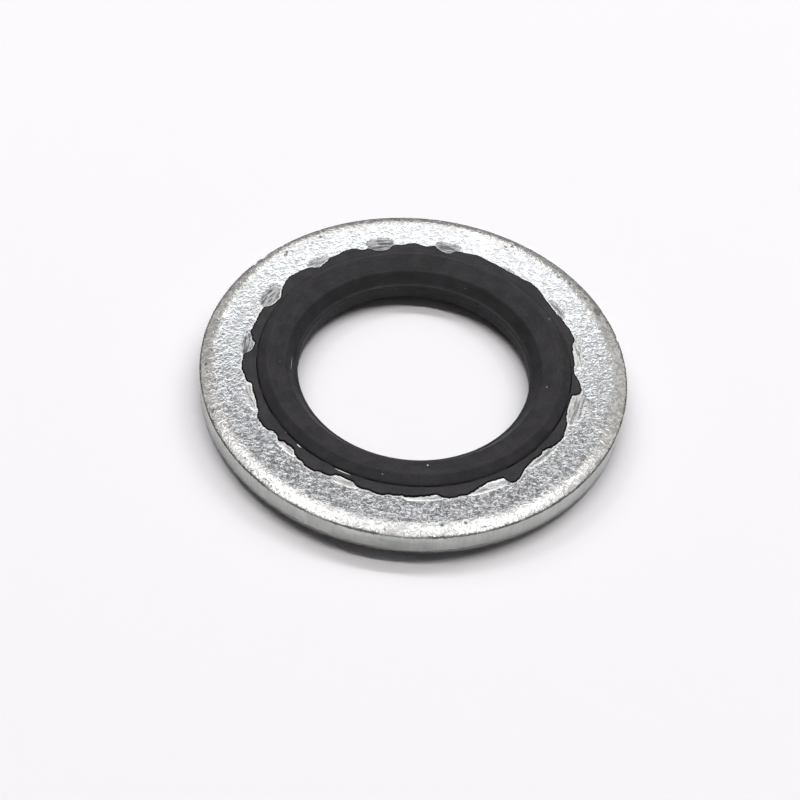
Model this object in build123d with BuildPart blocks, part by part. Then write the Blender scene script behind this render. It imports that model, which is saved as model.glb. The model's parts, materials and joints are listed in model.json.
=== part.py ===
from build123d import *
from build123d.topology import SkipClean
import os

os.makedirs("parts", exist_ok=True)

# Bonded sealing washer: a punched steel ring with a rubber seal moulded into its bore.
# Sizes are in millimetres. The washer lies flat with its axis on Z, and z = 0 is under the seal's lower bead.

# Steel ring
outer_diameter = 27.5
ring_width = 4.4
ring_thickness = 1.75
rim_roll_width = 1.1
rim_roll_drop = 0.2
rim_corner_radius = 0.06
punched_corner_radius = 0.04

# Rubber seal. Its beads are alike above and below. Above the lip the bore widens over a ledge and a knee, and below
# it stays nearly straight. Widths are measured from the steel's bore, heights from its faces, and the lip's lift is
# how far its land's middle lies above the washer's middle plane
lip_reach = 1.85
lip_land_height = 0.25
lip_lift = 0.125
ledge_width = 0.18
ledge_slope_height = 0.06
wall_setback = 0.04
knee_reach = 1.15
knee_height = 0.12
crest_overlap = 0.15
crest_width = 0.12
crest_height = 0.5
step_overlap = 0.62
step_height = 0.17
foot_overlap = 0.75
knee_corner_radius = 0.12
bead_corner_radius = 0.05

# Clamp pads of the mould, which leave a ring of shallow prints in both faces of the steel
pad_count = 15
first_pad_angle = 9.5
pad_gap_past_foot = 0.35
pad_length = 0.8
pad_width = 1.3
pad_corner_radius = 0.3
print_depth = 0.03

# Flash, the film of rubber that ran out over the steel between the pads. The reaches are measured
# from the bead's foot, one after another round the washer, and no two lobes are alike
film_thickness = 0.06
film_gap_to_pad = 0.05
notch_reaches = (0.28, 0.54, 0.68, 0.30, 0.24, 0.38, 0.20, 0.26, 0.52, 0.48, 0.42, 0.67, 0.42, 0.42, 0.16)
lobe_reaches = (0.76, 0.92, 0.92, 0.90, 0.94, 0.92, 0.76, 0.96, 0.98, 1.00, 0.92, 1.00, 1.16, 0.82, 0.72)
shoulder_share = 0.85

# Free face of the steel, from just outside the prints to the rolled rim
free_face_gap = 0.1

# Radii and heights that follow from the sizes, with heights from the washer's middle plane
outer_radius = outer_diameter / 2
steel_bore_radius = outer_radius - ring_width
half_thickness = ring_thickness / 2
roll_radius = outer_radius - rim_roll_width
lip_radius = steel_bore_radius - lip_reach
wall_radius = lip_radius + wall_setback
knee_radius = steel_bore_radius - knee_reach
crest_radius = steel_bore_radius + crest_overlap
crest_inner_radius = crest_radius - crest_width
step_radius = steel_bore_radius + step_overlap
foot_radius = steel_bore_radius + foot_overlap
pad_inner_radius = foot_radius + pad_gap_past_foot
pad_middle_radius = pad_inner_radius + pad_length / 2
free_face_radius = pad_inner_radius + pad_length + free_face_gap
middle_height = half_thickness + crest_height
land_top = lip_lift + lip_land_height / 2
land_bottom = lip_lift - lip_land_height / 2
gentle_slope = (crest_height - knee_height) / (crest_inner_radius - knee_radius)
wall_end_height = middle_height - gentle_slope * (crest_inner_radius - wall_radius)
pad_pitch = 360 / pad_count

# The sections are drawn right of the axis, and the washer's middle plane is their level line
section_plane = Plane(origin=(0, 0, middle_height), x_dir=(1, 0, 0), z_dir=(0, -1, 0))
middle_plane = Plane.XY.offset(middle_height)
face_planes = [middle_plane.offset(half_thickness), middle_plane.offset(-half_thickness)]


def corners_at(section, radius):
    """The corners of a section that lie this far from the axis."""
    return section.vertices().filter_by(lambda corner: abs(corner.X - radius) < 0.001)


def film_outline_points():
    """Points of the flash's wavy edge, four to a pitch: the notch at a pad, then a shoulder, a tip and a shoulder."""
    points = []
    for pad in range(pad_count):
        notch = notch_reaches[pad % len(notch_reaches)]
        next_notch = notch_reaches[(pad + 1) % pad_count % len(notch_reaches)]
        lobe = lobe_reaches[pad % len(lobe_reaches)]
        rise = notch + (lobe - notch) * shoulder_share
        fall = next_notch + (lobe - next_notch) * shoulder_share
        for quarter, reach in enumerate((notch, rise, lobe, fall)):
            angle = first_pad_angle + pad_pitch * (pad + quarter / 4)
            points.append(Vector(foot_radius + reach, 0).rotate(Axis.Z, angle))
    return points


# Steel ring: the band that the mould closes on, then the rim, whose upper edge the punch rolled down in an arc
# that leaves the flat face without a corner. Coplanar faces aren't merged here, so that the free face of the
# rim stays a face of its own
with BuildPart() as steel_ring, SkipClean():
    with BuildSketch(section_plane):
        with Locations(((steel_bore_radius + free_face_radius) / 2, 0)):
            Rectangle(free_face_radius - steel_bore_radius, ring_thickness)
    revolve(axis=Axis.Z)
    with BuildSketch(section_plane) as rim_section:
        with BuildLine():
            Line((free_face_radius, half_thickness), (roll_radius, half_thickness))
            TangentArc(
                (roll_radius, half_thickness),
                (outer_radius, half_thickness - rim_roll_drop),
                tangent=(1, 0),
            )
            Polyline(
                (outer_radius, half_thickness - rim_roll_drop),
                (outer_radius, -half_thickness),
                (free_face_radius, -half_thickness),
                (free_face_radius, half_thickness),
            )
        make_face()
        fillet(corners_at(rim_section, outer_radius).sort_by(Axis.Y)[0], punched_corner_radius)
        fillet(corners_at(rim_section, outer_radius).sort_by(Axis.Y)[-1], rim_corner_radius)
    revolve(axis=Axis.Z, clean=False)
    for face_plane, depth in zip(face_planes, (-print_depth, print_depth)):
        with BuildSketch(face_plane):
            with PolarLocations(pad_middle_radius, pad_count, start_angle=first_pad_angle):
                RectangleRounded(pad_length, pad_width, pad_corner_radius)
        extrude(amount=depth, mode=Mode.SUBTRACT, clean=False)
steel_ring.part.label = "steel_ring"

# Rubber seal: a lip in the bore, a bead over each face of the steel, and the flash that ran past the bead's foot
with BuildPart() as rubber_seal:
    with BuildSketch(section_plane) as seal_section:
        with BuildLine():
            Polyline(
                (crest_inner_radius, middle_height),
                (crest_radius, middle_height),
                (step_radius, half_thickness + step_height),
                (foot_radius, half_thickness),
                (steel_bore_radius, half_thickness),
                (steel_bore_radius, 0),
            )
            mirror(about=Plane.XZ)
            Polyline(
                (crest_inner_radius, middle_height),
                (knee_radius, half_thickness + knee_height),
                (lip_radius + ledge_width, land_top + ledge_slope_height),
                (lip_radius, land_top),
                (lip_radius, land_bottom),
                (wall_radius, land_bottom - wall_setback / 2),
                (wall_radius, -wall_end_height),
                (crest_inner_radius, -middle_height),
            )
        make_face()
        fillet(corners_at(seal_section, knee_radius), knee_corner_radius)
        fillet(corners_at(seal_section, wall_radius).sort_by(Axis.Y)[0], bead_corner_radius)
        fillet(corners_at(seal_section, crest_inner_radius), bead_corner_radius)
        fillet(corners_at(seal_section, crest_radius), bead_corner_radius)
        fillet(corners_at(seal_section, step_radius), bead_corner_radius)
    revolve(axis=Axis.Z)
    for face_plane, height in zip(face_planes, (film_thickness, -film_thickness)):
        with BuildSketch(face_plane):
            with BuildLine():
                Spline(*film_outline_points(), periodic=True)
            make_face()
            Circle(steel_bore_radius, mode=Mode.SUBTRACT)
            with PolarLocations(pad_middle_radius, pad_count, start_angle=first_pad_angle):
                RectangleRounded(
                    pad_length + 2 * film_gap_to_pad,
                    pad_width + 2 * film_gap_to_pad,
                    pad_corner_radius + film_gap_to_pad,
                    mode=Mode.SUBTRACT,
                )
        extrude(amount=height)
rubber_seal.part.label = "rubber_seal"

export_step(steel_ring.part, "parts/steel_ring.step")
export_step(rubber_seal.part, "parts/rubber_seal.step")
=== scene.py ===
"""Bonded sealing washer: a zinc-plated steel ring with a black rubber seal moulded into its bore."""

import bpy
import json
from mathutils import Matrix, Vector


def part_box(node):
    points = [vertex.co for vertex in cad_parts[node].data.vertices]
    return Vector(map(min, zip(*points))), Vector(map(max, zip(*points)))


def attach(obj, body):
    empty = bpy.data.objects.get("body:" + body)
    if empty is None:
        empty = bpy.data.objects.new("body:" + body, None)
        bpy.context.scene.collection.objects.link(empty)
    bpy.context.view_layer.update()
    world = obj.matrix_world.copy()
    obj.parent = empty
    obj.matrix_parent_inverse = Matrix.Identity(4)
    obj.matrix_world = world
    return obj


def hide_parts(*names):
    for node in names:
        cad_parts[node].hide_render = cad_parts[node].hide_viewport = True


bl_info = {
    "name": "Bonded Sealing Washer",
    "version": (1, 0, 0),
    "blender": (4, 5, 0),
    "location": "View3D > Sidebar > Washer",
    "description": "Builds a bonded sealing washer round its construction frame",
    "category": "Object",
}

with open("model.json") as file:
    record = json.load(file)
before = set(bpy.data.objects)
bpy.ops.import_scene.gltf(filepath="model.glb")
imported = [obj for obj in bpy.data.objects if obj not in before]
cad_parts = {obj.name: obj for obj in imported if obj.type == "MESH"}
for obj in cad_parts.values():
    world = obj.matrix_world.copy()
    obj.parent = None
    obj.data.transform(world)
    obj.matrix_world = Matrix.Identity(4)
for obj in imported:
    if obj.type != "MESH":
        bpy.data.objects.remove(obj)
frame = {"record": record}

import json
import math
from types import SimpleNamespace

import bpy
import numpy as np
from bpy.props import FloatProperty, FloatVectorProperty, IntProperty, PointerProperty
from mathutils import Matrix, Vector

MM = 0.001
MICRON = 0.000001
DEGREE = math.radians(1)
LAMP_DISTANCE = 1.5
WARM, COOL, NEUTRAL = (1.0, 0.985, 0.95), (0.94, 0.975, 1.0), (1.0, 0.995, 1.0)
FLOAT, VECTOR, GEOMETRY, MATERIAL = (
    "NodeSocket" + kind for kind in ("Float", "Vector", "Geometry", "Material")
)

# Clamp pads in degrees, and seeds of the flash above and below the washer: of its outline and of its thickness
FIRST_PAD, PAD_PITCH = 9.5, 24
UPPER_SEEDS, LOWER_SEEDS = (21, 31), (22, 32)

# Facts taken from the frame
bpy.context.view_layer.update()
RING_LOW, RING_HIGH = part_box("steel_ring")
SEAL_LOW, SEAL_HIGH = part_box("rubber_seal")
OUTER_RADIUS = RING_HIGH.x
LIP_RADIUS = next(mount["dims"]["r_mm"] for mount in frame["record"]["mounts"] if mount["name"] == "bore") * MM
MIDDLE = (SEAL_LOW.z + SEAL_HIGH.z) / 2
HALF_RING = (RING_HIGH.z - RING_LOW.z) / 2
HALF_SEAL = (SEAL_HIGH.z - SEAL_LOW.z) / 2

# Cards that only glossy surfaces mirror, from low behind the washer over its top to the front: name, elevation
# and turn in degrees, width and height in metres, level and colour
CARDS = (
    ("low_card", (13, 0), (5.0, 0.56), 0.2, NEUTRAL),
    ("pale_card", (31.5, -3), (0.62, 0.45), 0.98, NEUTRAL),
    ("bright_card", (42.9, -4), (0.60, 0.15), 1.0, COOL),
    ("upper_card", (47.6, -5), (0.54, 0.10), 0.52, COOL),
    ("fading_card", (51.5, 0), (0.90, 0.11), 0.10, COOL),
    ("left_card", (38, -42), (1.50, 0.75), 0.40, WARM),
    ("right_card", (38, 34), (1.66, 0.75), 0.47, WARM),
    ("left_roof", (64, -64), (0.9, 0.70), 0.8, NEUTRAL),
    ("right_roof", (64, 64), (0.9, 0.70), 0.82, NEUTRAL),
    ("roof_edge", (57.4, 0), (1.1, 0.12), 0.95, NEUTRAL),
    ("roof_card", (74.9, 0), (1.1, 0.80), 1.06, NEUTRAL),
    ("front_roof", (114, 0), (2.6, 1.26), 1.0, NEUTRAL),
    ("front_card", (154, 0), (4.0, 0.9), 0.4, NEUTRAL),
)

# Outline of the rubber flash, round the washer from the first clamp pad on. Each row is the stretch from one
# pad to the next: degrees past the pad, and the film's reach past the bead's foot in hundredths of a millimetre
FLASH_ROWS = (
    {0: 28, 3: 34, 5: 44, 7: 46, 8: 73, 12.5: 76, 17: 69, 20: 64, 22: 58},
    {0: 53, 3: 60, 6.5: 68, 8.5: 80, 11.5: 90, 15: 92, 18: 77, 23: 70},
    {0: 70, 6: 70, 9: 79, 11.5: 83, 13.5: 92, 16: 79, 20: 70, 21.6: 66, 22.4: 40},
    {0: 30, 2.5: 40, 4.2: 72, 5.5: 86, 7: 69, 9.5: 74, 11.5: 90, 14: 90, 16: 74, 20.8: 70, 21.8: 34},
    {0: 24, 2.5: 26, 4.5: 50, 5.5: 66, 7: 58, 8.5: 66, 10: 90, 12.5: 95, 15: 88, 17: 76, 20.8: 76, 22: 50},
    {0: 46, 1.5: 34, 3.4: 42, 5: 70, 9: 88, 12: 93, 15.5: 92, 18: 74, 21: 46},
    {0: 20, 3: 22, 5.5: 42, 6.8: 76, 13.5: 72, 19.3: 76, 20.5: 60, 22.5: 56},
    {0: 26, 3: 34, 4.8: 60, 5.6: 88, 9: 96, 12.5: 96, 15.5: 82, 18: 78, 18.8: 47, 22: 52},
    {0: 54, 3: 53, 5: 66, 7.5: 74, 10: 98, 13: 96, 16.4: 90, 17.6: 62, 19.5: 59, 22: 82, 23.2: 58},
    {0: 54, 4: 48, 5.4: 78, 9: 86, 11.5: 98, 14.5: 98, 16: 80, 19.8: 80, 21: 48},
    {0: 44, 3.5: 46, 5.5: 78, 10: 80, 12.5: 92, 14.5: 88, 17: 76},
    {0: 77, 2: 70, 7.5: 58, 9: 80, 11: 96, 12.8: 100, 15: 88, 17.5: 92, 19: 76, 22: 62},
    {0: 50, 1.5: 42, 4.8: 48, 7.4: 46, 7.9: 108, 9.5: 116, 12: 102, 14: 80, 16: 58, 20: 48, 23: 44},
    {0: 56, 1.5: 40, 3.5: 50, 5: 64, 7: 74, 9.5: 82, 12: 76, 14: 64, 16: 60, 18: 42, 20: 28, 23: 17},
    {0: 16, 4: 16, 6.5: 26, 7.6: 72, 10: 70, 12.6: 58, 14.5: 42, 16.5: 19, 19: 22, 22: 32},
)

# The clamp prints, one row for each pad: degrees past the pad's place, radius, size round the ring and size
# across it in millimetres, strength, and how white the rubbed plating is. The mesh stores each under its name,
# and the geometry node tree uses up all but the last
PRINT_VALUES = (
    "print_shift", "print_radius", "print_width", "print_length", "print_strength", "print_paleness"
)
PRINT_UNITS = (DEGREE, MM, MM, MM, 1, 1)
PRINT_ROWS = (
    (1.6, 10.68, 2.3, 0.55, 0.9, 0.75),
    (-0.6, 10.80, 1.7, 0.55, 0.9, 0.25),
    (0.5, 10.78, 1.1, 0.35, 0.8, 0.2),
    (0.2, 10.90, 1.65, 0.95, 1.0, 0.05),
    (0.6, 10.93, 1.8, 1.1, 1.0, 0.0),
    (1.1, 10.78, 1.7, 0.8, 0.9, 0.1),
    (1.1, 10.83, 2.1, 1.1, 1.0, 0.05),
    (1.0, 10.75, 1.9, 0.8, 1.0, 0.0),
    (0.9, 10.82, 2.0, 0.7, 0.7, 0.5),
    (1.7, 10.76, 1.7, 0.55, 0.6, 0.8),
    (1.3, 10.78, 1.6, 0.5, 0.6, 0.85),
    (2.8, 10.88, 2.3, 0.4, 0.6, 0.9),
    (0.5, 10.85, 2.6, 0.5, 0.6, 0.8),
    (0.9, 10.70, 2.2, 0.55, 0.9, 0.15),
    (0.5, 10.74, 2.7, 0.95, 0.8, 0.4),
)

# Single marks: degrees round the washer, radius, length, width, degrees that it is turned, and strength
MARK_UNITS = (DEGREE, MM, MM, MM, DEGREE)
STEEL_MARKS = (
    (27.6, 13.28, 0.85, 0.40, 8, 0.60),
    (105.5, 13.5, 0.40, 0.09, 4, 0.95),
    (134.5, 12.8, 0.30, 0.13, 40, 0.55),
    (61.0, 12.9, 0.45, 0.08, -35, 0.45),
    (63.5, 12.6, 0.35, 0.07, -30, 0.40),
    (187.5, 13.35, 0.35, 0.16, 15, 0.75),
    (190.5, 13.25, 0.22, 0.12, -30, 0.70),
    (234.0, 13.5, 0.16, 0.14, 0, 0.85),
    (292.0, 13.45, 0.50, 0.08, 2, 0.80),
)
# On the rubber: painted glints on its edges and lip, and pale spots where bare steel shows through the torn
# flash
RUBBER_GLINTS_AND_SPOTS = (
    (279.0, 8.6, 0.11, 0.11, 0, 1.0),
    (248.5, 10.2, 1.05, 0.07, 0, 0.9),
    (229.6, 10.22, 0.36, 0.08, 0, 1.0),
    (352.0, 8.6, 0.12, 0.08, 20, 0.5),
    (29.0, 9.8, 0.18, 0.07, 10, 0.5),
    (186.0, 7.9, 1.1, 0.035, 3, 0.5),
    (262.0, 9.7, 0.12, 0.06, 30, 0.35),
)


def mm_prop(name, millimetres, text, low=0.0):
    """A length, kept in metres."""
    default = millimetres * MM
    return FloatProperty(name=name, description=text, default=default, min=low, unit="LENGTH", precision=6)


def angle_prop(name, degrees, text):
    """An angle, kept in radians."""
    return FloatProperty(name=name, description=text, default=degrees * DEGREE, subtype="ANGLE")


def level_prop(name, default, text, high=20.0):
    """A plain level."""
    return FloatProperty(name=name, description=text, default=default, min=0.0, max=high)


def colour_prop(name, default, text):
    """A linear colour."""
    return FloatVectorProperty(name=name, description=text, default=default, subtype="COLOR", min=0.0, max=1.0)


class SteelRingSettings(bpy.types.PropertyGroup):
    """Sizes and finish of the steel ring"""

    columns: IntProperty(name="Columns", description="Faces round the ring", default=840, min=60)
    bore_radius: mm_prop("Bore radius", 9.35, "Steel's own bore, hidden in the rubber")
    roll_width: mm_prop("Roll width", 1.1, "Width of the rolled rim")
    roll_drop: mm_prop("Roll drop", 0.2, "How far the rim is rolled down")
    rim_corner: mm_prop("Rim corner", 0.05, "Radius of the upper rim corner")
    lower_corner: mm_prop("Lower corner", 0.04, "Radius of the punched lower corner")
    print_count: IntProperty(name="Prints", description="Clamp prints on each face", default=15, min=1)
    first_print: angle_prop("First print", FIRST_PAD, "Place of the first clamp print")
    print_depth: mm_prop("Print depth", 0.028, "How deep a clamp print is pressed in")
    dent_depth: mm_prop("Dent depth", 0.006, "Height of the tumbled unevenness")
    nick_depth: mm_prop("Nick depth", 0.05, "Depth of the nicks in the rim corner")
    zinc_colour: colour_prop("Zinc", (0.755, 0.78, 0.80), "Plated flat face")
    rim_colour: colour_prop("Rim", (0.75, 0.75, 0.73), "Plated rolled rim")
    wall_colour: colour_prop("Wall", (0.56, 0.585, 0.565), "Sheared side wall")
    # Also colours the dark line painted along the upper rim corner
    grime_colour: colour_prop("Grime", (0.10, 0.10, 0.085), "Dirt in pits and along the rim corner")
    # Colour of the painted highlight along the flash's edge, and of the white plating rubbed in the clamp
    # prints
    highlight_and_bloom_colour: colour_prop("Bloom", (0.80, 0.80, 0.77), "White bloom beside the flash and in prints")


class RubberSealSettings(bpy.types.PropertyGroup):
    """Sizes and finish of the rubber seal"""

    columns: IntProperty(name="Columns", description="Faces round the seal", default=768, min=60)
    land_height: mm_prop("Land height", 0.25, "Cylindrical land at the lip")
    lip_lift: mm_prop("Lip lift", 0.125, "Height of the land's middle over the washer's middle plane")
    ledge_width: mm_prop("Ledge width", 0.18, "Small ledge beside the lip")
    ledge_rise: mm_prop("Ledge rise", 0.06, "Rise of the ledge")
    wall_setback: mm_prop("Wall setback", 0.04, "Step back from the land to the bore wall under it")
    knee_radius: mm_prop("Knee radius", 8.2, "Where the wall turns into the gentle slope")
    knee_height: mm_prop("Knee height", 0.12, "Height of the knee over the steel's face")
    crest_radius: mm_prop("Crest radius", 9.5, "Outer edge of the bead's crest")
    crest_width: mm_prop("Crest width", 0.10, "Width of the crest")
    step_radius: mm_prop("Step radius", 10.03, "Where the outer slope ends in a step")
    step_height: mm_prop("Step height", 0.15, "Height of the step over the steel's face")
    foot_radius: mm_prop("Foot radius", 10.1, "Foot of the bead")
    corner: mm_prop("Corners", 0.05, "Rounding of the bead's corners")
    film_thickness: mm_prop("Film thickness", 0.055, "Thickness of the flash")
    raggedness: mm_prop("Raggedness", 0.022, "Unevenness of the flash's edge")
    rubber_colour: colour_prop("Rubber", (0.0195, 0.018, 0.020), "Moulded rubber")
    flash_colour: colour_prop("Flash", (0.0228, 0.0212, 0.0238), "Thin flash")
    dust_colour: colour_prop("Dust", (0.22, 0.21, 0.21), "Dust on the rubber")
    # Colour of the painted glints on the rubber, and of its bare spots and pale grains
    glint_colour: colour_prop("Glint", (0.65, 0.65, 0.66), "Bare spots and pale grains on the rubber")


class StageSettings(bpy.types.PropertyGroup):
    """Camera, lamps and floor"""

    elevation: angle_prop("Elevation", 49.0557, "Camera above the floor")
    roll: angle_prop("Roll", 5.4457, "Turn of the picture")
    distance: mm_prop("Distance", 110, "Camera to the point that it looks at")
    aim_x: mm_prop("Aim X", -0.7133, "Point looked at", low=-1.0)
    aim_y: mm_prop("Aim Y", -3.0827, "Point looked at", low=-1.0)
    lens: FloatProperty(name="Lens", description="Focal length on a 36 mm sensor", default=78.347, min=1.0)
    key_radiance: level_prop("Key", 26.0, "Radiance of the strip lamp above the back", high=90)
    back_radiance: level_prop("Back", 15.4, "Radiance of the lower strip lamp", high=90)
    side_radiance: level_prop("Sides", 2.8, "Radiance of the two panels beside")
    gloss_radiance: level_prop("Cards", 1.0, "Level of the cards that glossy surfaces mirror")
    shine_radiance: level_prop("Room shine", 0.12, "Room as glossy surfaces see it")
    fill_radiance: level_prop("Fill", 0.06, "Radiance of the room")
    floor_colour: colour_prop("Floor", (0.905, 0.888, 0.912), "Plain floor")


class TreeBuilder:
    """A node tree under construction. Inputs are sockets or plain values, and None leaves one as it is."""

    def __init__(self, tree):
        self.tree = tree

    def add(self, kind, *inputs, **settings):
        """Adds a node with its settings and feeds its inputs in order."""
        node = self.tree.nodes.new(kind)
        for name, value in settings.items():
            setattr(node, name, value)
        for socket, value in zip(node.inputs, inputs):
            self.feed(socket, value)
        return node

    def feed(self, socket, value):
        """Links a socket to another, or sets its plain value."""
        if isinstance(value, bpy.types.NodeSocket):
            self.tree.links.new(value, socket)
        elif value is not None:
            socket.default_value = value

    def fill(self, node, **inputs):
        """Feeds a node's inputs by name, with _ for a space."""
        for name, value in inputs.items():
            self.feed(node.inputs[name.replace("_", " ")], value)
        return node

    def math(self, operation, *inputs, clamp=False):
        """One arithmetic step."""
        return self.add("ShaderNodeMath", *inputs, operation=operation, use_clamp=clamp).outputs[0]

    def chain(self, operation, first, others):
        """One arithmetic step after another, over all values."""
        for other in others:
            first = self.math(operation, first, other)
        return first

    def times(self, first, *others):
        """The product of the values."""
        return self.chain("MULTIPLY", first, others)

    def plus(self, first, *others):
        """The sum of the values."""
        return self.chain("ADD", first, others)

    def most(self, first, *others):
        """The largest of the values."""
        return self.chain("MAXIMUM", first, others)

    def minus(self, first, second):
        """The first value less the second."""
        return self.math("SUBTRACT", first, second)

    def over(self, first, second):
        """The first value divided by the second."""
        return self.math("DIVIDE", first, second)

    def ramp(self, value, low, high, start=0.0, end=1.0):
        """A smooth change from start to end while value goes from low to high."""
        node = self.add("ShaderNodeMapRange", value, low, high, start, end, interpolation_type="SMOOTHSTEP")
        return node.outputs[0]

    def mix(self, share, first, second, blend="MIX"):
        """A mix of two colours."""
        node = self.add("ShaderNodeMix", data_type="RGBA", blend_type=blend)
        for socket, value in zip((node.inputs[0], node.inputs[6], node.inputs[7]), (share, first, second)):
            self.feed(socket, value)
        return node.outputs[2]

    def dimmed(self, colour, level):
        """A colour times a level."""
        grey = self.add("ShaderNodeCombineColor", level, level, level).outputs[0]
        return self.mix(1.0, colour, grey, "MULTIPLY")

    def split(self, vector):
        """The three parts of a vector."""
        return self.add("ShaderNodeSeparateXYZ", vector).outputs

    def vector_math(self, operation, *inputs, **named):
        """One step on vectors."""
        return self.fill(self.add("ShaderNodeVectorMath", *inputs, operation=operation), **named).outputs[0]

    def turn(self, vector, angle):
        """A vector turned about Z."""
        return self.add("ShaderNodeVectorRotate", vector, None, None, angle, rotation_type="Z_AXIS").outputs[0]

    def axis_distance(self, x, y):
        """How far a point lies from the washer's axis."""
        return self.math("SQRT", self.plus(self.times(x, x), self.times(y, y)))

    def noise(self, vector, scale, detail=2.0, distortion=0.0):
        """A noise value between 0 and 1."""
        node = self.add("ShaderNodeTexNoise", normalize=True)
        return self.fill(node, Vector=vector, Scale=scale, Detail=detail, Distortion=distortion).outputs[0]

    def stored(self, name):
        """A value stored on the mesh, for a material."""
        return self.add("ShaderNodeAttribute", attribute_name=name).outputs["Fac"]

    def bump(self, height, distance, normal=None):
        """A normal tilted by a height."""
        return self.fill(self.add("ShaderNodeBump"), Distance=distance, Height=height, Normal=normal).outputs[0]

    def group(self, name, *inputs):
        """Places a shared group, with its inputs in order, and returns its outputs."""
        return self.add("ShaderNodeGroup", *inputs, node_tree=bpy.data.node_groups[name]).outputs

    def speckle(self, vector, millimetres, twist, contrast=1.0):
        """Places a speckle group with patches of this size."""
        return self.group("speckle", vector, millimetres * MM, twist, contrast)

    def specks(self, vector, millimetres, spot, share):
        """Places a specks group with cells of this size and returns its mask."""
        return self.group("specks", vector, millimetres * MM, spot, share)[0]


def new_group(name, kind, inputs, outputs):
    """A node group with named sockets. Returns its builder, its inputs and its outputs.

    inputs gives each socket its type, or a plain value when it is a number. outputs gives the types.
    """
    tree = bpy.data.node_groups.new(name, kind)
    for label, value in inputs.items():
        plain = not isinstance(value, str)
        socket = tree.interface.new_socket(label, in_out="INPUT", socket_type=FLOAT if plain else value)
        if plain:
            socket.default_value = value
    for label, socket_type in outputs.items():
        tree.interface.new_socket(label, in_out="OUTPUT", socket_type=socket_type)
    builder = TreeBuilder(tree)
    entry = builder.add("NodeGroupInput")
    leave = builder.add("NodeGroupOutput")
    return builder, entry.outputs, leave.inputs


# Shader node groups shared by the finishes


def place_group():
    """Where a point of the washer lies: radius, height, and a stretched vector for marks that run round."""
    outputs = {"Radius": FLOAT, "Height": FLOAT, "Round Vector": VECTOR, "Point": VECTOR}
    build, _, out = new_group("washer_place", "ShaderNodeTree", {}, outputs)
    point = build.add("ShaderNodeTexCoord").outputs["Object"]
    x, y, z = build.split(point)
    radius = build.axis_distance(x, y)
    along = 1.2 * MM
    stretched = build.add(
        "ShaderNodeCombineXYZ",
        build.times(build.over(x, radius), along),
        build.times(build.over(y, radius), along),
        build.plus(radius, build.times(z, 1.7)),
    ).outputs[0]
    for socket, value in zip(out, (radius, z, stretched, point)):
        build.feed(socket, value)
    return build.tree


def speckle_group():
    """Mottled light and dark at one size, as a centred value and as a height."""
    build, into, out = new_group(
        "speckle",
        "ShaderNodeTree",
        {"Vector": VECTOR, "Size": 0.2 * MM, "Twist": 1.0, "Contrast": 1.0},
        {"Value": FLOAT, "Height": FLOAT},
    )
    height = build.noise(into["Vector"], build.over(1.0, into["Size"]), detail=1.1, distortion=into["Twist"])
    spread = build.times(build.minus(height, 0.5), build.times(into["Contrast"], 3.0))
    build.feed(out["Value"], build.math("ADD", spread, 0.5, clamp=True))
    build.feed(out["Height"], height)
    return build.tree


def specks_group():
    """Scattered small spots, 1 inside a spot and 0 elsewhere."""
    build, into, out = new_group(
        "specks",
        "ShaderNodeTree",
        {"Vector": VECTOR, "Spacing": 0.6 * MM, "Spot": 0.12, "Share": 0.5},
        {"Mask": FLOAT},
    )
    vector, spacing = into["Vector"], into["Spacing"]
    shake = build.fill(build.add("ShaderNodeTexNoise"), Vector=vector, Scale=build.over(6.0, spacing))
    amount = build.times(spacing, into["Spot"], 2.5)
    shift = build.vector_math("SCALE", shake.outputs["Color"], Scale=amount)
    cells = build.fill(
        build.add("ShaderNodeTexVoronoi", feature="F1"),
        Vector=build.vector_math("ADD", vector, shift),
        Scale=build.over(1.0, spacing),
    ).outputs
    pick = build.add("ShaderNodeSeparateColor", cells["Color"]).outputs
    size = build.times(into["Spot"], build.plus(pick[1], 0.4))
    inside = build.ramp(cells["Distance"], build.times(size, 0.6), size, 1.0, 0.0)
    build.feed(out["Mask"], build.times(inside, build.math("LESS_THAN", pick[0], into["Share"])))
    return build.tree


def scuff_group():
    """One mark at a place on the washer, 1 inside and 0 outside, with a ragged edge."""
    build, into, out = new_group(
        "scuff",
        "ShaderNodeTree",
        {"Vector": VECTOR, "Angle": 0.0, "Radius": 10 * MM, "Length": 1 * MM, "Width": 0.1 * MM, "Turn": 0.0},
        {"Mask": FLOAT},
    )
    level = build.turn(into["Vector"], build.times(into["Angle"], -1.0))
    centre = build.add("ShaderNodeCombineXYZ", into["Radius"], 0.0, 0.0).outputs[0]
    across, along, _ = build.split(build.turn(build.vector_math("SUBTRACT", level, centre), into["Turn"]))
    reach = []
    for distance, size in ((across, into["Width"]), (along, into["Length"])):
        share = build.over(build.times(distance, 2.0), size)
        reach.append(build.times(share, share))
    ragged = build.minus(build.noise(into["Vector"], 1 / (0.13 * MM)), 0.5)
    edge = build.plus(*reach, build.times(ragged, 1.6))
    build.feed(out["Mask"], build.ramp(edge, 0.55, 1.25, 1.0, 0.0))
    return build.tree


SHARED_GROUPS = {
    "washer_place": place_group,
    "speckle": speckle_group,
    "specks": specks_group,
    "scuff": scuff_group,
}


def add_marks(build, point, height, rows):
    """All marks of a table, on the washer's upper side only."""
    union = 0.0
    for *sizes, strength in rows:
        mark = build.group("scuff", point, *(size * unit for size, unit in zip(sizes, MARK_UNITS)))[0]
        union = build.most(union, build.times(mark, strength))
    return build.times(union, build.ramp(height, MIDDLE, MIDDLE + 0.3 * MM))


def new_material(name):
    """A node material, with the shared groups at hand. Returns it, its builder and its shader node."""
    for group, maker in SHARED_GROUPS.items():
        if group not in bpy.data.node_groups:
            maker()
    material = bpy.data.materials.new(name)
    material.use_nodes = True
    shader = material.node_tree.nodes["Principled BSDF"]
    return material, TreeBuilder(material.node_tree), shader


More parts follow.
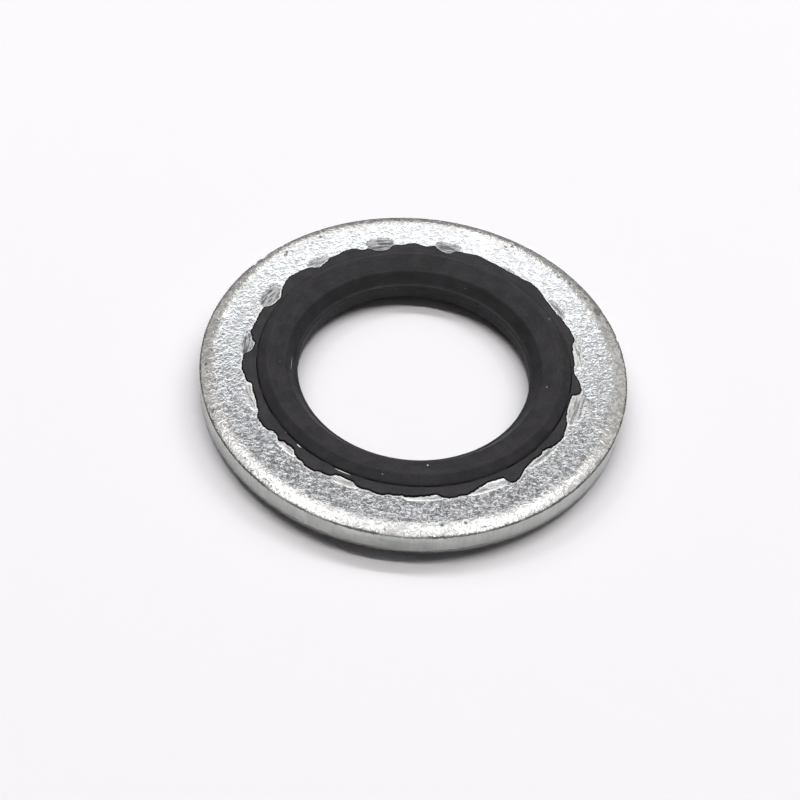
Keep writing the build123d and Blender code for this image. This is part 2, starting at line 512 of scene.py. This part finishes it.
def zinc_patterns(settings, build):
    """The patterns and masks that the parts of the zinc finish share."""
    radius, height, round_vector, point = build.group("washer_place")
    roll_width = settings.roll_width
    return SimpleNamespace(
        radius=radius,
        height=height,
        point=point,
        relief=build.speckle(point, 0.34, 1.3, 1.2),
        blotch=build.speckle(point, 1.6, 0.6, 0.9)["Value"],
        tint=build.speckle(point, 0.9, 0.3, 1.2)["Value"],
        curls=build.speckle(point, 0.34, 3.0),
        streaks=build.speckle(round_vector, 0.10, 0.2, 1.3),
        pits=build.specks(point, 0.42, 0.26, 0.6),
        print_mark=build.stored("print_mark"),
        rolled=build.ramp(radius, OUTER_RADIUS - roll_width * 1.15, OUTER_RADIUS - roll_width * 0.55),
        wall=build.ramp(radius, OUTER_RADIUS - 0.05 * MM, OUTER_RADIUS - 0.005 * MM),
        near_rim=build.ramp(radius, OUTER_RADIUS - 1.6 * MM, OUTER_RADIUS - 0.7 * MM, 0.0, 0.85),
    )


def plated_colour(settings, build, at):
    """The tumbled face with its rolled rim, mottled, crossed by fine dark curls, and with painted shade in the
    relief's dents and painted light on its tops.
    """
    lilac, olive = (0.76, 0.76, 0.785, 1), (0.74, 0.75, 0.71, 1)
    face = build.mix(at.tint, (*settings.zinc_colour, 1), lilac)
    face = build.mix(build.times(at.blotch, 0.35), face, olive)
    colour = build.mix(at.rolled, face, (*settings.rim_colour, 1))
    # Painted shade and light: the relief's dents are darkened, most on the rolled rim, and its tops are
    # lightened
    deepest_dent_shade = build.ramp(at.rolled, 0.0, 1.0, 0.76, 0.72)
    painted_dent_shade = build.ramp(at.relief["Value"], 0.15, 0.85, deepest_dent_shade, 1.08)
    off_line = build.math("ABSOLUTE", build.minus(at.curls["Height"], 0.5))
    line = build.times(build.ramp(off_line, 0.008, 0.03, 1.0, 0.0), build.ramp(at.tint, 0.25, 0.75, 0.1, 1.0))
    return build.dimmed(colour, build.times(painted_dent_shade, build.minus(1.0, build.times(line, 0.22))))


def highlight_and_bloom_mask(build, at):
    """Where the face is painted white: a painted highlight in a line along the flash's edge, and rubbed white
    plating in the clamp prints.
    """
    line = build.times(
        build.ramp(build.stored("film_gap"), 0.06 * MM, 0.14 * MM, 1.0, 0.0),
        build.ramp(at.blotch, 0.0, 0.5, 0.3, 1.0),
    )
    streaky = build.ramp(at.streaks["Value"], 0.2, 0.6, 0.3, 1.0)
    return build.most(line, build.times(at.print_mark, build.stored("print_paleness"), streaky))


def wall_shade(settings, build, at):
    """The sheared side wall, with faint lines that the punch dragged down it."""
    upright = build.vector_math("MULTIPLY", at.point, (1.0, 1.0, 0.14))
    drag = build.speckle(upright, 0.20, 0.3, 1.2)["Value"]
    worn = build.times(build.ramp(drag, 0.1, 0.9, 0.95, 1.03), build.ramp(at.blotch, 0.0, 1.0, 0.88, 1.06))
    return build.dimmed((*settings.wall_colour, 1), worn)


def corner_dark_line(build, at):
    """A ragged dark line painted along the upper rim corner."""
    corner_jitter = build.minus(at.curls["Value"], 0.5)
    jittered_radius = build.plus(at.radius, build.times(corner_jitter, 0.09 * MM))
    jittered_height = build.plus(at.height, build.times(corner_jitter, 0.10 * MM))
    return build.times(
        build.ramp(jittered_radius, OUTER_RADIUS - 0.13 * MM, OUTER_RADIUS - 0.05 * MM),
        build.ramp(jittered_height, RING_HIGH.z - 0.34 * MM, RING_HIGH.z - 0.27 * MM),
        build.ramp(at.blotch, 0.0, 0.6, 0.6, 0.97),
    )


def pit_grime(build, at):
    """Dirt in the pits, mostly on the rim."""
    fewer = build.times(at.near_rim, build.ramp(at.tint, 0.3, 0.6), build.ramp(at.wall, 0.0, 1.0, 1.0, 0.25))
    return build.times(at.pits, fewer)


def fracture_grime(build, at):
    """The fracture band at the foot of the side wall, under a torn dark line."""
    torn = build.plus(at.height, build.times(build.minus(at.tint, 0.5), 0.16 * MM))
    low = RING_LOW.z
    line = build.times(
        at.wall,
        build.ramp(torn, low + 0.20 * MM, low + 0.25 * MM),
        build.ramp(torn, low + 0.25 * MM, low + 0.32 * MM, 1.0, 0.0),
        build.ramp(at.blotch, 0.1, 0.7, 0.2, 0.9),
    )
    band = build.ramp(torn, low + 0.22 * MM, low + 0.27 * MM, 0.35, 0.0)
    return build.most(line, build.times(at.wall, band))


def zinc_normal(build, at):
    """Tumbled relief, calmer towards the back, with pits and with lines in the clamp prints."""
    backward = build.split(at.point)[1]
    swing = build.plus(build.ramp(backward, -2 * MM, 8 * MM, 1.0, 0.8), build.times(at.rolled, 0.35))
    grit = build.speckle(at.point, 0.13, 1.2)["Height"]
    uneven = build.times(build.plus(at.relief["Height"], build.times(grit, 0.10)), swing)
    pitted = build.times(at.pits, at.near_rim, build.ramp(at.wall, 0.0, 1.0, -1.5, 0.0))
    tumbled = build.bump(build.plus(uneven, pitted), 18 * MICRON)
    return build.bump(build.times(at.streaks["Height"], at.print_mark), 3 * MICRON, tumbled)


def zinc_material(settings):
    """Zinc-plated steel: tumbled face with painted shade in its dents, rolled rim, clamp prints, sheared wall,
    grime in the hollows, a dark line painted along the rim corner, and a painted highlight along the flash.
    """
    material, build, shader = new_material("zinc_plated_steel")
    at = zinc_patterns(settings, build)
    plated = plated_colour(settings, build, at)
    smeared = build.dimmed(plated, build.ramp(at.streaks["Value"], 0.2, 0.8, 0.22, 0.72))
    # Painted highlight along the flash, made white and less metallic, and white rubbed plating in the prints
    highlight_and_bloom = highlight_and_bloom_mask(build, at)
    marked = build.mix(highlight_and_bloom, build.mix(at.print_mark, plated, smeared), (*settings.highlight_and_bloom_colour, 1))
    walled = build.mix(at.wall, marked, wall_shade(settings, build, at))
    marks = add_marks(build, at.point, at.height, STEEL_MARKS)
    # Grime in the pits, the marks and the fracture band, together with the dark line painted along the rim
    # corner
    grime = build.most(corner_dark_line(build, at), pit_grime(build, at), fracture_grime(build, at), marks)
    rough_marks = build.times(build.most(grime, at.print_mark), 0.22)
    build.fill(
        shader,
        Base_Color=build.mix(grime, walled, (*settings.grime_colour, 1)),
        Roughness=build.plus(build.ramp(at.tint, 0.2, 0.8, 0.06, 0.11), rough_marks),
        Metallic=build.minus(1.0, build.times(highlight_and_bloom, 0.7)),
        Normal=zinc_normal(build, at),
    )
    return material


def painted_foot_shade(settings, build, radius, point, cloud):
    """Painted shade along the step at the bead's foot, which fades towards the back."""
    foot = settings.foot_radius
    return build.times(
        build.ramp(radius, foot - 0.06 * MM, foot - 0.01 * MM),
        build.ramp(radius, foot + 0.03 * MM, foot + 0.09 * MM, 1.0, 0.0),
        build.ramp(cloud, 0.1, 0.8, 0.3, 0.9),
        build.ramp(build.split(point)[1], -2 * MM, 7 * MM, 1.0, 0.15),
    )


def rubber_material(settings):
    """Moulded black rubber: matt, faintly mottled, with lines that run round, greyer flash and some dust,
    painted shade along the bead's foot and the flash's edge, and painted glints beside bare spots.
    """
    material, build, shader = new_material("black_rubber")
    radius, height, round_vector, point = build.group("washer_place")
    grain = build.speckle(point, 0.12, 0.4)
    cloud = build.speckle(point, 1.3, 0.5)["Value"]
    turned = build.speckle(round_vector, 0.16, 0.1)
    dust = build.specks(point, 0.5, 0.09, 0.10)

    film = build.ramp(radius, settings.foot_radius, settings.foot_radius + 0.12 * MM)
    # Painted shade: a dark line along the flash's edge and a dark line at the bead's foot, where the sheen is
    # also taken away
    outline = build.times(build.ramp(build.stored("edge_gap"), 0.06 * MM, 0.13 * MM, 0.95, 0.0), film)
    painted_shade_mask = build.most(painted_foot_shade(settings, build, radius, point, cloud), outline)
    base = build.mix(film, (*settings.rubber_colour, 1), (*settings.flash_colour, 1))
    lined = build.ramp(turned["Value"], 0.0, 1.0, 0.88, 1.12)
    level = build.times(build.ramp(cloud, 0.1, 0.9, 0.82, 1.18), lined)
    painted_shade_black = (0.004, 0.004, 0.004, 1)
    shade_painted_base = build.mix(painted_shade_mask, build.dimmed(base, level), painted_shade_black)
    dusty = build.mix(build.times(dust, 0.5), shade_painted_base, (*settings.dust_colour, 1))
    painted_glints_and_spots = add_marks(build, point, height, RUBBER_GLINTS_AND_SPOTS)
    build.fill(
        shader,
        Base_Color=build.mix(painted_glints_and_spots, dusty, (*settings.glint_colour, 1)),
        Roughness=build.ramp(grain["Value"], 0.0, 1.0, 0.55, 0.72),
        Specular_IOR_Level=build.ramp(painted_shade_mask, 0.0, 1.0, 0.35, 0.05),
        Normal=build.bump(turned["Height"], 4 * MICRON, build.bump(grain["Height"], 3 * MICRON)),
    )
    return material


# Meshes


def smooth_noise(count, knots, seed):
    """A closed, smooth random curve of count values about 0, with this many knots round the washer."""
    draw = np.random.default_rng(seed)
    phases = np.linspace(0, 2 * math.pi, count, endpoint=False)
    curve = np.zeros(count)
    for order in range(1, knots + 1):
        swing, shift = draw.normal(), draw.uniform(0, 2 * math.pi)
        curve += swing * np.cos(order * phases + shift) / math.sqrt(knots)
    return curve


def lathe(name, radii, heights):
    """A closed ring of faces. radii and heights have a row for each column of the ring."""
    columns, rows = radii.shape
    turn = np.linspace(0, 2 * math.pi, columns, endpoint=False)[:, None]
    points = np.stack([radii * np.cos(turn), radii * np.sin(turn), heights], axis=-1).reshape(-1, 3)
    here = np.arange(columns * rows).reshape(columns, rows)
    outward = np.roll(here, -1, axis=1)
    corners = (here, outward, np.roll(outward, -1, axis=0), np.roll(here, -1, axis=0))
    faces = np.stack(corners, axis=-1).reshape(-1, 4)
    mesh = bpy.data.meshes.new(name)
    mesh.from_pydata(points.tolist(), [], faces.tolist())
    mesh.shade_smooth()
    return mesh


def run(start, end, step):
    """Points from start towards end, without the end, no further apart than step."""
    start, end = np.array(start, float), np.array(end, float)
    pieces = max(1, math.ceil(np.linalg.norm(end - start) / step))
    return [tuple(start + (end - start) * piece / pieces) for piece in range(pieces)]


def arc(centre, radius, start, end, pieces):
    """Points on an arc of a section, from one angle to another in degrees, both ends included."""
    angles = np.radians(np.linspace(start, end, pieces + 1))
    return [(centre[0] + radius * math.cos(a), centre[1] + radius * math.sin(a)) for a in angles]


def ring_section(settings):
    """The ring's section as (radius, height) points, up the bore, out over the face and back underneath."""
    low, high = RING_LOW.z, RING_HIGH.z
    roll_start = OUTER_RADIUS - settings.roll_width
    roll_radius = (settings.roll_width**2 + settings.roll_drop**2) / (2 * settings.roll_drop)
    end_slope = math.degrees(math.asin(settings.roll_width / roll_radius))
    bore, corner, lower = settings.bore_radius, settings.rim_corner, settings.lower_corner
    roll_end = end_slope - math.degrees(corner / roll_radius)
    prints_start, prints_end = 10 * MM, 11.5 * MM
    fine, coarse = 0.075 * MM, 0.2 * MM
    roll = arc((roll_start, high - roll_radius), roll_radius, 90, 90 - roll_end, 14)
    corner_centre = (OUTER_RADIUS - corner, roll[-1][1] - corner * math.cos(math.radians(roll_end)))
    points = run((bore, low), (bore, high), 0.5 * MM)
    points += run((bore, high), (prints_start, high), coarse)
    points += run((prints_start, high), (prints_end, high), fine)
    points += run((prints_end, high), roll[0], 0.1 * MM)
    points += roll
    points += arc(corner_centre, corner, 90 - roll_end - 12, 0, 4)
    wall_low = low + lower
    points += run((OUTER_RADIUS, corner_centre[1] - 0.04 * MM), (OUTER_RADIUS, wall_low), 0.14 * MM)
    points += arc((OUTER_RADIUS - lower, wall_low), lower, 0, -90, 3)
    points += run((OUTER_RADIUS - 0.1 * MM, low), (prints_end, low), coarse)
    points += run((prints_end, low), (prints_start, low), fine)
    points += run((prints_start, low), (bore, low), coarse)
    return np.array(points)


def steel_mesh(settings):
    """The steel ring, with small nicks in its upper rim corner."""
    section = ring_section(settings)
    radii = np.repeat(section[None, :, 0], settings.columns, axis=0)
    heights = np.repeat(section[None, :, 1], settings.columns, axis=0)
    corner_height = RING_HIGH.z - settings.roll_drop
    away = np.hypot(section[:, 0] - OUTER_RADIUS, section[:, 1] - corner_height)
    at_corner = np.exp(-((away / (0.08 * MM)) ** 2))[None, :]
    nicks = smooth_noise(settings.columns, 150, seed=4) + 0.8 * smooth_noise(settings.columns, 40, seed=9)
    bite = np.clip(nicks - 1.6, 0, 1.2)[:, None] * settings.nick_depth * at_corner
    wobble = smooth_noise(settings.columns, 60, seed=12)[:, None] * 0.004 * MM * at_corner
    mesh = lathe("steel_ring_fine", radii - bite * 0.6 - np.abs(wobble), heights - bite)
    store_print_rows(mesh, settings, len(section))
    return mesh


def store_value(mesh, name, values):
    """Stores a value at each point of a mesh."""
    mesh.attributes.new(name, "FLOAT", "POINT").data.foreach_set("value", values.astype(np.float32))


def store_print_rows(mesh, settings, rows):
    """Gives each point the sizes of the print nearest to it, and its distance from the edge of the flash."""
    degrees = np.arange(settings.columns) * 360 / settings.columns
    first, pitch = math.degrees(settings.first_print), 360 / settings.print_count
    pads = np.round((degrees - first) / pitch).astype(int) % settings.print_count
    sizes = np.array(PRINT_ROWS)[pads % len(PRINT_ROWS)]
    for name, column, unit in zip(PRINT_VALUES, sizes.T, PRINT_UNITS):
        store_value(mesh, name, np.repeat(column * unit, rows))
    seal = bpy.context.scene.washer_seal
    edge = seal.foot_radius + flash_reach(settings.columns, seal.raggedness, UPPER_SEEDS[0])
    points = np.array([vertex.co for vertex in mesh.vertices])
    gap = np.hypot(points[:, 0], points[:, 1]) - np.repeat(edge, rows)
    far_away = 1.0
    store_value(mesh, "film_gap", np.where(points[:, 2] > MIDDLE, gap, far_away))


def flash_reach(columns, raggedness, seed):
    """How far the flash reaches past the bead's foot at each column."""
    degrees, reaches = [], []
    for pad, row in enumerate(FLASH_ROWS):
        for past, hundredths in row.items():
            degrees.append(FIRST_PAD + PAD_PITCH * pad + past)
            reaches.append(hundredths * 0.01 * MM)
    asked = (np.arange(columns) * 360 / columns - FIRST_PAD) % 360 + FIRST_PAD
    reach = np.interp(asked, degrees + [degrees[0] + 360], reaches + [reaches[0]])
    soft = np.array([0.25, 0.5, 0.25])
    reach = np.convolve(np.concatenate([reach[-1:], reach, reach[:1]]), soft, mode="valid")
    ragged = smooth_noise(columns, 110, seed) + 0.8 * smooth_noise(columns, 300, seed + 1)
    return reach + raggedness * ragged


def seal_section(settings):
    """The seal's section from the upper foot over the crest, down the bore and on to the lower foot.

    Points are (radius, height over the middle plane).
    """
    inner_crest = settings.crest_radius - settings.crest_width
    slope = (HALF_SEAL - HALF_RING - settings.knee_height) / (inner_crest - settings.knee_radius)
    wall_radius = LIP_RADIUS + settings.wall_setback
    wall_end = HALF_SEAL - slope * (inner_crest - wall_radius)
    land_top = settings.lip_lift + settings.land_height / 2
    land_bottom = settings.lip_lift - settings.land_height / 2
    outside = [
        (settings.foot_radius, HALF_RING + settings.film_thickness),
        (settings.step_radius, HALF_RING + settings.step_height),
        (settings.crest_radius, HALF_SEAL),
        (inner_crest, HALF_SEAL),
    ]
    inside = [
        (settings.knee_radius, HALF_RING + settings.knee_height),
        (LIP_RADIUS + settings.ledge_width, land_top + settings.ledge_rise),
        (LIP_RADIUS, land_top),
        (LIP_RADIUS, land_bottom),
        (wall_radius, land_bottom - settings.wall_setback * 0.6),
        (wall_radius, -wall_end),
    ]
    corners = outside + inside + [(radius, -height) for radius, height in reversed(outside)]
    points = []
    for here, there in zip(corners, corners[1:]):
        points += run(here, there, 0.085 * MM)
    points.append(corners[-1])
    return soften(np.array(points), settings.corner)


def soften(points, reach):
    """Rounds the corners of a section over about this reach. Its ends stay, and so does its height."""
    steps = np.linalg.norm(np.diff(points, axis=0), axis=1)
    along = np.concatenate([[0], np.cumsum(steps)])
    softened = points.copy()
    for number in range(1, len(points) - 1):
        weight = np.exp(-((along - along[number]) ** 2) / reach**2)
        softened[number] = (points * weight[:, None]).sum(0) / weight.sum()
    softened[:, 1] *= points[:, 1].max() / softened[:, 1].max()
    return softened


def film_rows(reach, side, settings, seed):
    """Radii and heights of one film of flash: over the top, round its edge and back under it to the bore."""
    shares = np.linspace(0.08, 1.0, 12) ** 0.9
    edge_radius = settings.foot_radius + reach
    top = HALF_RING + settings.film_thickness
    thin = smooth_noise(len(reach), 45, seed) * 0.008 * MM
    radii = [settings.foot_radius + reach * share * 0.97 for share in shares]
    heights = [top + thin * share for share in shares]
    for fall, out in ((0.35, 0.99), (0.7, 1.0), (1.25, 0.995)):
        radii.append(settings.foot_radius + reach * out)
        heights.append(top - settings.film_thickness * fall + thin * 0.5)
    under = HALF_RING - 0.015 * MM
    for radius in (10.3 * MM, 9.8 * MM, 9.35 * MM):
        radii.append(np.minimum(edge_radius, radius))
        heights.append(np.full(len(reach), under))
    return np.stack(radii, axis=1), np.stack(heights, axis=1) * side


def seal_mesh(settings):
    """The rubber seal with its bead, lip and flash above and below."""
    columns = settings.columns
    section = seal_section(settings)
    bead = [np.repeat(part[None, :], columns, axis=0) for part in section.T]
    films = []
    for side, (reach_seed, film_seed) in ((1, UPPER_SEEDS), (-1, LOWER_SEEDS)):
        reach = flash_reach(columns, settings.raggedness, reach_seed)
        films.append(film_rows(reach, side, settings, film_seed))
    above, below = films
    radii = np.concatenate([above[0][:, ::-1], bead[0], below[0]], axis=1)[:, ::-1]
    heights = np.concatenate([above[1][:, ::-1], bead[1], below[1]], axis=1)[:, ::-1]
    mesh = lathe("rubber_seal_fine", radii, heights + MIDDLE)
    edges = np.where(heights > 0, above[0].max(axis=1)[:, None], below[0].max(axis=1)[:, None])
    store_value(mesh, "edge_gap", (edges - radii).ravel())
    return mesh


# Geometry node trees


def move_and_paint(build, into, out, geometry, offset):
    """Ends a geometry node tree: shifts the points, realizes instances and sets the material."""
    moved = build.fill(build.add("GeometryNodeSetPosition"), Geometry=geometry, Offset=offset).outputs[0]
    whole = build.add("GeometryNodeRealizeInstances", moved).outputs[0]
    painted = build.fill(build.add("GeometryNodeSetMaterial"), Geometry=whole, Material=into["Material"])
    build.feed(out["Geometry"], painted.outputs[0])


def nearest_print(build, into, point):
    """The nearest clamp print's edge value, about 1 at its ragged outline and less inside, and its strength."""
    x, y, _ = build.split(point)
    radius = build.axis_distance(x, y)
    pitch = build.over(2 * math.pi, into["Prints"])
    turns = build.over(build.minus(build.math("ARCTAN2", y, x), into["First Print"]), pitch)
    shift, middle, width, length, strength = (
        build.add("GeometryNodeInputNamedAttribute", name, data_type="FLOAT").outputs[0]
        for name in PRINT_VALUES[:-1]
    )
    past = build.times(build.minus(turns, build.math("ROUND", turns)), pitch)
    aside = build.times(build.minus(past, shift), radius)
    outward = build.minus(radius, middle)
    edge = []
    for distance, size in ((aside, width), (outward, length)):
        share = build.math("ABSOLUTE", build.over(build.times(distance, 2.0), size))
        edge.append(build.math("POWER", share, 3.0))
    ragged = build.minus(build.noise(point, 1 / (0.35 * MM)), 0.5)
    return build.plus(*edge, build.times(ragged, 1.6)), strength


def relief_tree():
    """Sinks the clamp prints into both faces, each a little different, and gives the faces tumbled dents."""
    build, into, out = new_group(
        "ring_relief",
        "GeometryNodeTree",
        {"Geometry": GEOMETRY, "Prints": 15.0, "First Print": 0.0}
        | {"Print Depth": 0.0, "Dent Depth": 0.0, "Material": MATERIAL},
        {"Geometry": GEOMETRY},
    )
    point = build.add("GeometryNodeInputPosition").outputs[0]
    edge, strength = nearest_print(build, into, point)
    normal = build.add("GeometryNodeInputNormal").outputs[0]
    upright = build.math("ABSOLUTE", build.split(normal)[2])
    on_face = build.math("GREATER_THAN", upright, 0.97)
    mark = build.times(build.ramp(edge, 0.75, 1.3, 1.0, 0.0), on_face)

    dents = build.minus(build.noise(point, 1 / (0.7 * MM), detail=1.0), 0.5)
    dented = build.times(dents, into["Dent Depth"], build.ramp(upright, 0.3, 0.95))
    inward = build.minus(dented, build.times(mark, into["Print Depth"]))
    side = build.math("SIGN", build.minus(build.split(point)[2], MIDDLE))
    offset = build.add("ShaderNodeCombineXYZ", 0.0, 0.0, build.times(inward, side)).outputs[0]

    store = build.add("GeometryNodeStoreNamedAttribute", data_type="FLOAT", domain="POINT")
    values = {"Geometry": into["Geometry"], "Name": "print_mark", "Value": build.times(mark, strength)}
    for name, value in values.items():
        build.feed(next(socket for socket in store.inputs if socket.name == name and socket.enabled), value)
    move_and_paint(build, into, out, store.outputs[0], offset)
    return build.tree


def swell_tree():
    """Gives the moulded rubber its slight unevenness and its finish."""
    build, into, out = new_group(
        "seal_relief",
        "GeometryNodeTree",
        {"Geometry": GEOMETRY, "Unevenness": 0.0, "Wave": 1 * MM, "Material": MATERIAL},
        {"Geometry": GEOMETRY},
    )
    point = build.add("GeometryNodeInputPosition").outputs[0]
    waves = build.minus(build.noise(point, build.over(1.0, into["Wave"])), 0.5)
    normal = build.add("GeometryNodeInputNormal").outputs[0]
    shift = build.vector_math("SCALE", normal, Scale=build.times(waves, into["Unevenness"]))
    move_and_paint(build, into, out, into["Geometry"], shift)
    return build.tree


def add_object(name, data):
    """A new object in the scene."""
    item = bpy.data.objects.new(name, data)
    bpy.context.scene.collection.objects.link(item)
    return item


def apply_tree(name, mesh, tree, **inputs):
    """Runs a geometry node tree on a mesh and returns the result as a plain object of that name."""
    source = add_object(name + "_source", mesh)
    modifier = source.modifiers.new(tree.name, "NODES")
    modifier.node_group = tree
    for socket in tree.interface.items_tree:
        label = socket.name.lower().replace(" ", "_")
        if socket.in_out == "INPUT" and label in inputs:
            modifier[socket.identifier] = inputs[label]
    evaluated = source.evaluated_get(bpy.context.evaluated_depsgraph_get())
    plain = bpy.data.meshes.new_from_object(evaluated)
    if not plain.polygons:
        raise RuntimeError(name + " came out empty")
    plain.name = name
    bpy.data.objects.remove(source)
    return add_object(name, plain)


class WASHER_OT_steel_ring(bpy.types.Operator):
    """Builds the zinc-plated steel ring"""

    bl_idname = "washer.steel_ring"
    bl_label = "Build Steel Ring"

    def execute(self, context):
        settings = context.scene.washer_ring
        piece = apply_tree(
            "steel_ring_plated",
            steel_mesh(settings),
            relief_tree(),
            prints=float(settings.print_count),
            first_print=settings.first_print,
            print_depth=settings.print_depth,
            dent_depth=settings.dent_depth,
            material=zinc_material(settings),
        )
        for used_up in PRINT_VALUES[:-1]:
            piece.data.attributes.remove(piece.data.attributes[used_up])
        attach(piece, "root")
        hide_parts("steel_ring")
        return {"FINISHED"}


class WASHER_OT_rubber_seal(bpy.types.Operator):
    """Builds the moulded rubber seal with its flash"""

    bl_idname = "washer.rubber_seal"
    bl_label = "Build Rubber Seal"

    def execute(self, context):
        settings = context.scene.washer_seal
        piece = apply_tree(
            "rubber_seal_moulded",
            seal_mesh(settings),
            swell_tree(),
            unevenness=0.012 * MM,
            wave=0.9 * MM,
            material=rubber_material(settings),
        )
        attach(piece, "root")
        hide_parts("rubber_seal")
        return {"FINISHED"}


def add_camera(settings):
    """The camera at the photograph's viewing angle."""
    down, roll = settings.elevation, settings.roll
    forward = Vector((0, math.cos(down), -math.sin(down)))
    right = Vector((1, 0, 0))
    up = right.cross(forward)
    turned_right = right * math.cos(roll) + up * math.sin(roll)
    turned_up = up * math.cos(roll) - right * math.sin(roll)
    aim = Vector((settings.aim_x, settings.aim_y, RING_HIGH.z - bpy.context.scene.washer_ring.roll_drop))
    camera = add_object("camera", bpy.data.cameras.new("camera"))
    camera.data.sensor_width = 36
    camera.data.lens = settings.lens
    camera.data.clip_start = 1 * MM
    camera.data.clip_end = 20
    facing = Matrix((turned_right, turned_up, -forward)).transposed().to_4x4()
    camera.matrix_world = Matrix.Translation(aim - forward * settings.distance) @ facing
    bpy.context.scene.camera = camera


def add_softbox(name, place, size, radiance, colour, light=True, shine=True):
    """A rectangular lamp that faces the washer. light and shine say whether it lights matt and glossy surfaces.

    place is the elevation above the floor and the turn from straight behind the washer, in degrees.
    """
    elevation, turn = (math.radians(angle) for angle in place)
    lamp = bpy.data.lights.new(name, "AREA")
    lamp.shape = "RECTANGLE"
    lamp.size, lamp.size_y = size
    lamp.energy = radiance * math.pi * size[0] * size[1]
    lamp.color = colour
    level = math.cos(elevation)
    towards = Vector((math.sin(turn) * level, math.cos(turn) * level, math.sin(elevation)))
    holder = add_object(name, lamp)
    facing = towards.to_track_quat("Z", "Y").to_matrix().to_4x4()
    holder.matrix_world = Matrix.Translation(towards * LAMP_DISTANCE) @ facing
    holder.visible_camera = False
    holder.visible_diffuse = light
    holder.visible_glossy = shine


def add_world(settings):
    """A dim even room, a little brighter for glossy surfaces."""
    world = bpy.data.worlds.new("dim_room")
    bpy.context.scene.world = world
    world.use_nodes = True
    build = TreeBuilder(world.node_tree)
    mirrored = build.add("ShaderNodeLightPath").outputs["Is Glossy Ray"]
    level = build.plus(settings.fill_radiance, build.times(mirrored, settings.shine_radiance))
    build.fill(world.node_tree.nodes["Background"], Strength=level, Color=(1.0, 0.96, 1.0, 1))


def add_floor(settings):
    """A wide plain floor under the washer."""
    half = 3.0
    corners = [(-half, -half, 0), (half, -half, 0), (half, half, 0), (-half, half, 0)]
    mesh = bpy.data.meshes.new("floor")
    mesh.from_pydata(corners, [], [(0, 1, 2, 3)])
    floor = add_object("floor", mesh)
    material, build, shader = new_material("white_card")
    build.fill(shader, Base_Color=(*settings.floor_colour, 1), Roughness=0.9, Specular_IOR_Level=0.0)
    mesh.materials.append(material)


class WASHER_OT_stage(bpy.types.Operator):
    """Builds the camera, the lamps and the floor"""

    bl_idname = "washer.stage"
    bl_label = "Build Stage"

    def execute(self, context):
        settings = context.scene.washer_stage
        add_camera(settings)
        add_world(settings)
        add_floor(settings)
        key, side = settings.key_radiance, settings.side_radiance
        add_softbox("key_strip", (79.5, 4), (1.15, 0.105), key, WARM, shine=False)
        add_softbox("back_strip", (58.5, 2), (1.9, 0.105), settings.back_radiance, COOL, shine=False)
        add_softbox("left_panel", (46, -46), (0.85, 0.66), side, NEUTRAL, shine=False)
        add_softbox("right_panel", (46, 50), (0.85, 0.66), side * 1.15, NEUTRAL, shine=False)
        for name, place, size, level, colour in CARDS:
            add_softbox(name, place, size, level * settings.gloss_radiance, colour, light=False)
        context.scene.view_settings.view_transform = "Standard"
        return {"FINISHED"}


class WASHER_PT_panel(bpy.types.Panel):
    """Washer builder in the sidebar"""

    bl_idname = "WASHER_PT_panel"
    bl_label = "Bonded Sealing Washer"
    bl_space_type = "VIEW_3D"
    bl_region_type = "UI"
    bl_category = "Washer"

    def draw(self, context):
        for owner, operator in (
            (context.scene.washer_ring, "washer.steel_ring"),
            (context.scene.washer_seal, "washer.rubber_seal"),
            (context.scene.washer_stage, "washer.stage"),
        ):
            box = self.layout.box()
            for name in owner.__annotations__:
                box.prop(owner, name)
            box.operator(operator)


SETTINGS = {"washer_ring": SteelRingSettings, "washer_seal": RubberSealSettings, "washer_stage": StageSettings}
CLASSES = (*SETTINGS.values(), WASHER_OT_steel_ring, WASHER_OT_rubber_seal, WASHER_OT_stage, WASHER_PT_panel)


def register():
    """Registers the classes and hangs the settings on the scene."""
    for cls in CLASSES:
        bpy.utils.register_class(cls)
    for name, settings in SETTINGS.items():
        setattr(bpy.types.Scene, name, PointerProperty(type=settings))


def unregister():
    """Takes the settings off the scene and unregisters the classes."""
    for name in SETTINGS:
        delattr(bpy.types.Scene, name)
    for cls in reversed(CLASSES):
        bpy.utils.unregister_class(cls)


def main():
    """Builds the washer and the stage."""
    register()
    bpy.ops.washer.steel_ring()
    bpy.ops.washer.rubber_seal()
    bpy.ops.washer.stage()


if __name__ == "__main__":
    main()
